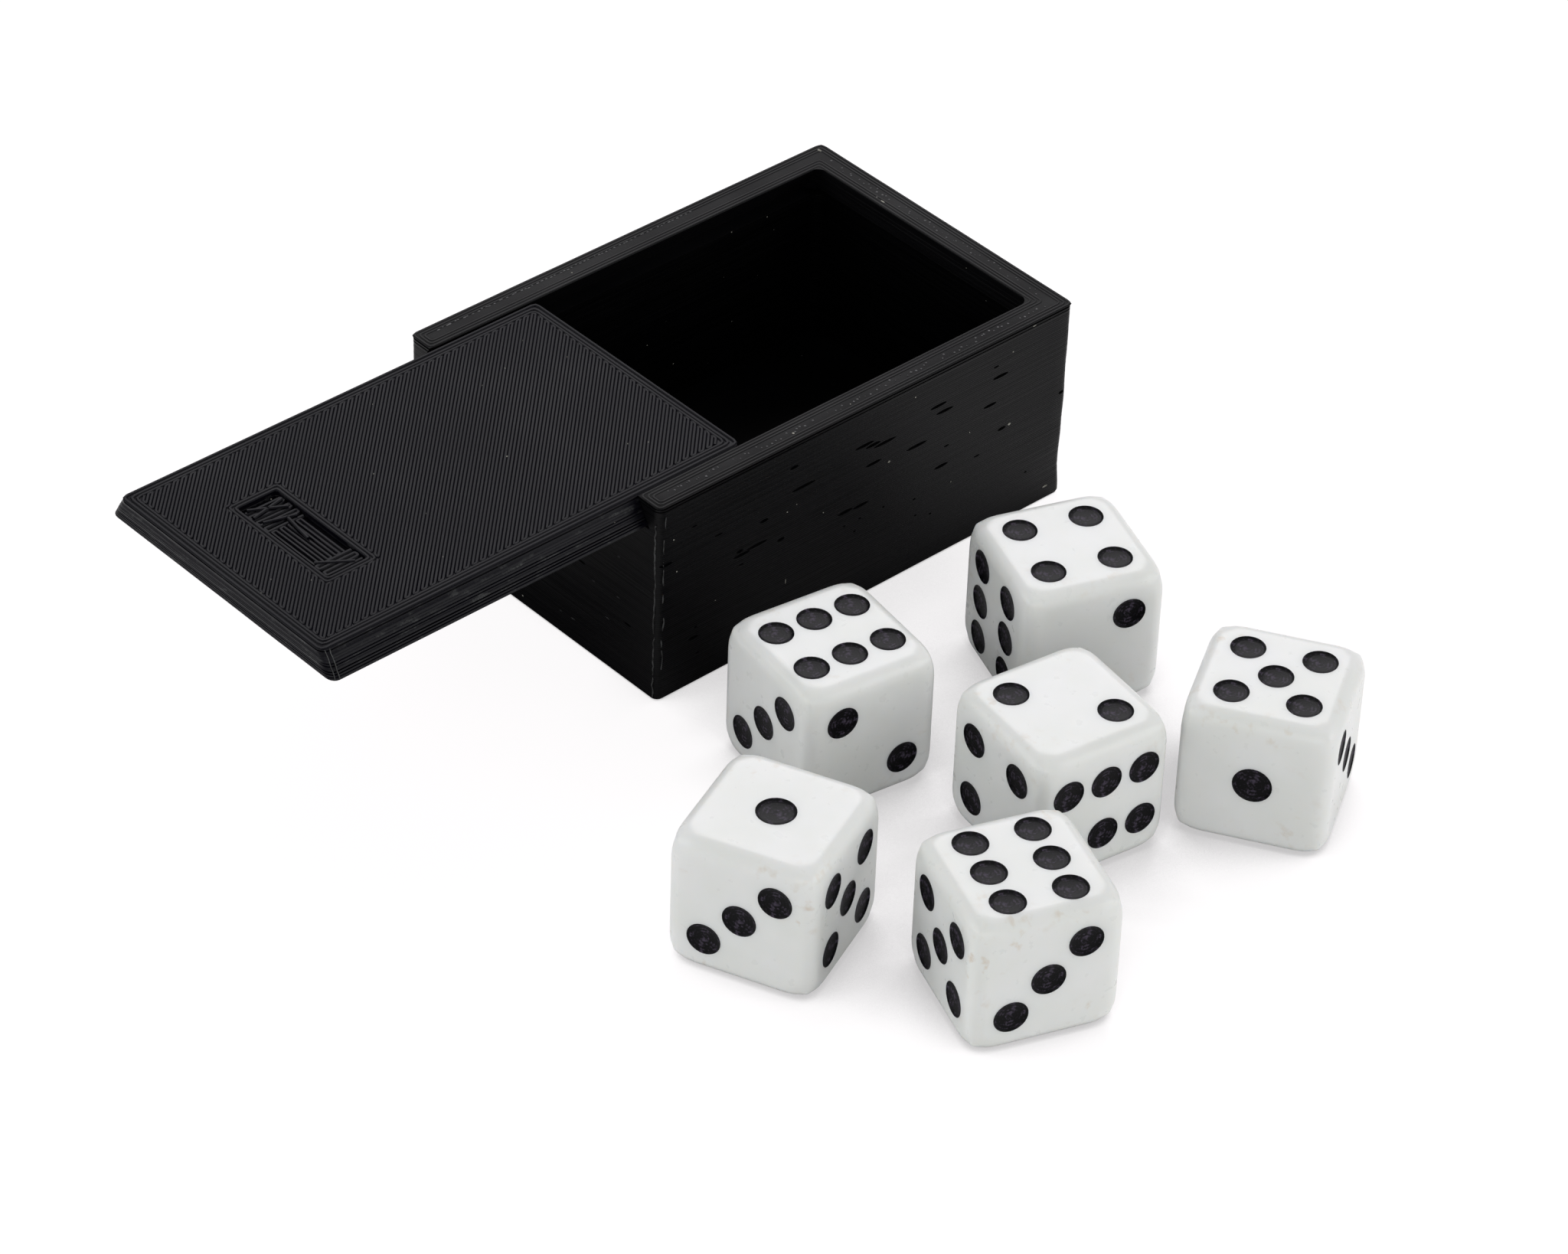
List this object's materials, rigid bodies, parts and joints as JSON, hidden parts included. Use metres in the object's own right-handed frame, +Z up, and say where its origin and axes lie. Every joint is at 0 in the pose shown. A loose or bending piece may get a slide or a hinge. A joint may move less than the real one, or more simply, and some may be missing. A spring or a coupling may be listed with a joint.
{
  "type": "dice storage chest",
  "caption": "Rectangular box with a dovetail sliding lid that has a thumb recess, with the set of spotted dice that it stores.",
  "frame": {"origin": "middle of the box's underside", "axes": "+Z up, the lid slides out towards -Y, the dice stand on the +X side"},
  "size_m": [0.1066, 0.099, 0.025],
  "materials": {
    "box_plastic": "printed in layers, satin",
    "lid_plastic": "printed in layers, satin, diagonal strokes on top",
    "die_plastic": "moulded, smooth, slightly translucent",
    "spot_black": "paint, satin"
  },
  "bodies": {
    "chest": {"box": "box_plastic"},
    "lid": {"lid": "lid_plastic"},
    "die_1": {"die_1": "die_plastic", "die_1_pips": "spot_black"},
    "die_2": {"die_2": "die_plastic", "die_2_pips": "spot_black"},
    "die_3": {"die_3": "die_plastic", "die_3_pips": "spot_black"},
    "die_4": {"die_4": "die_plastic", "die_4_pips": "spot_black"},
    "die_5": {"die_5": "die_plastic", "die_5_pips": "spot_black"},
    "die_6": {"die_6": "die_plastic", "die_6_pips": "spot_black"}
  },
  "joints": [
    {"name": "lid_slide", "type": "slide", "parent": "chest", "child": "lid", "axis": [0, -1, 0], "range_m": [-0.0406, 0.0145]},
    {"name": "die_1_lift", "type": "slide", "parent": "chest", "child": "die_1", "axis": [0, 0, 1], "range_m": [0, 0.04]},
    {"name": "die_2_lift", "type": "slide", "parent": "chest", "child": "die_2", "axis": [0, 0, 1], "range_m": [0, 0.04]},
    {"name": "die_3_lift", "type": "slide", "parent": "chest", "child": "die_3", "axis": [0, 0, 1], "range_m": [0, 0.04]},
    {"name": "die_4_lift", "type": "slide", "parent": "chest", "child": "die_4", "axis": [0, 0, 1], "range_m": [0, 0.04]},
    {"name": "die_5_lift", "type": "slide", "parent": "chest", "child": "die_5", "axis": [0, 0, 1], "range_m": [0, 0.04]},
    {"name": "die_6_lift", "type": "slide", "parent": "chest", "child": "die_6", "axis": [0, 0, 1], "range_m": [0, 0.04]}
  ]
}
